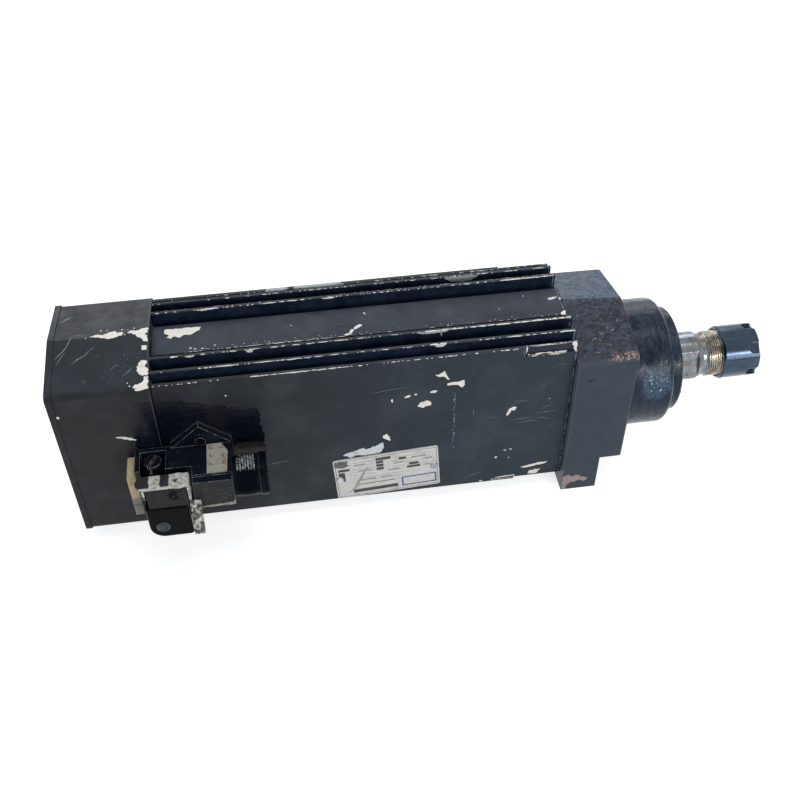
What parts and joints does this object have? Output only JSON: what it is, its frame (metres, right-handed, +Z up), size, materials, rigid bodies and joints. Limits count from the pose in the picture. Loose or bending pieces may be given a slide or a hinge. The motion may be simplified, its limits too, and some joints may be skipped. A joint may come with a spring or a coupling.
{
  "type": "motor spindle",
  "caption": "Finned rectangular motor spindle with a stout round nose, a taper collet with its clamping nut, a fan cowl behind and a side connector with a locking lever.",
  "frame": {"origin": "on the spindle axis, at the front end shield's flat front face, where the round bearing housing leaves it", "axes": "+X along the spindle axis towards the collet nose, +Z up, away from the foot; the connector is on the -Y side"},
  "size_m": [0.4454, 0.1285, 0.1335],
  "materials": {
    "cowl_paint": "satin black paint on sheet steel, chipped at the edges",
    "body_paint": "satin black paint on an aluminium extrusion, chipped along the fin tips",
    "casting_paint": "black paint on a cast surface",
    "gloss_paint": "glossy black paint",
    "bright_steel": "turned and ground, polished",
    "blued_steel": "black oxide finish, satin",
    "cast_aluminium": "as cast, machined seats",
    "plate_aluminium": "rolled sheet, scratched",
    "lamination": "stacked electrical steel",
    "copper": "varnished copper wire",
    "contact_brass": "tin-plated brass contacts",
    "rubber": "soft black rubber",
    "black_plastic": "black moulded plastic with dust",
    "gloss_plastic": "glossy black moulded plastic",
    "cream_plastic": "aged cream plastic",
    "lever_paint": "pale stainless lever with worn cream paint"
  },
  "bodies": {
    "motor": {"bay_screw": "gloss_plastic", "bearing_housing": "gloss_paint", "cable_entry": "black_plastic", "connector_gasket": "rubber", "connector_housing": "black_plastic", "connector_screws": "bright_steel", "contact_insert": "black_plastic", "contact_pins": "contact_brass", "cover_screws": "blued_steel", "cowl_pillars": "bright_steel", "end_plate": "cream_plastic", "fan_cowl": "cowl_paint", "front_bearing_outer_rings": "bright_steel", "front_cover": "gloss_paint", "front_end_shield": "casting_paint", "grille_screws": "bright_steel", "hood_screw": "gloss_plastic", "housing_screws": "blued_steel", "lever_pins": "bright_steel", "marker_tag": "cream_plastic", "nameplate": "plate_aluminium", "nameplate_rivets": "plate_aluminium", "plug_body": "gloss_plastic", "plug_disc": "gloss_plastic", "plug_hood": "black_plastic", "preload_spring": "bright_steel", "rear_bearing_outer_ring": "bright_steel", "rear_end_shield": "cast_aluminium", "rear_grille": "cowl_paint", "shaft_seal": "rubber", "stator_core": "lamination", "stator_housing": "body_paint", "stator_windings": "copper", "tie_rods": "bright_steel"},
    "spindle": {"spindle_shaft": "bright_steel", "rotor_core": "lamination", "rotor_cage": "cast_aluminium", "front_bearing_inner_rings": "bright_steel", "front_bearing_balls": "bright_steel", "rear_bearing_inner_ring": "bright_steel", "rear_bearing_balls": "bright_steel", "bearing_locknut": "blued_steel", "cooling_fan": "black_plastic", "fan_clip": "bright_steel"},
    "collet_carrier": {"collet": "bright_steel", "extractor_ring": "blued_steel"},
    "nut": {"collet_nut": "blued_steel"},
    "lever": {"locking_lever": "lever_paint"}
  },
  "joints": [
    {"name": "spindle_spin", "type": "hinge", "parent": "motor", "child": "spindle", "pos_m": [0, 0, 0], "axis": [1, 0, 0], "continuous": true},
    {"name": "carrier_slide", "type": "slide", "parent": "spindle", "child": "collet_carrier", "axis": [1, 0, 0], "range_m": [0, 0.012]},
    {"name": "nut_turn", "type": "hinge", "parent": "collet_carrier", "child": "nut", "pos_m": [0, 0, 0], "axis": [1, 0, 0], "range_deg": [0, 2880]},
    {"name": "lever_swing", "type": "hinge", "parent": "motor", "child": "lever", "pos_m": [-0.286, -0.0713, 0.0048], "axis": [-1, 0, 0], "range_deg": [0, 70]}
  ],
  "couplings": [
    {"joint": "carrier_slide", "follows": "nut_turn", "m_per_rad": 0.00023873}
  ]
}
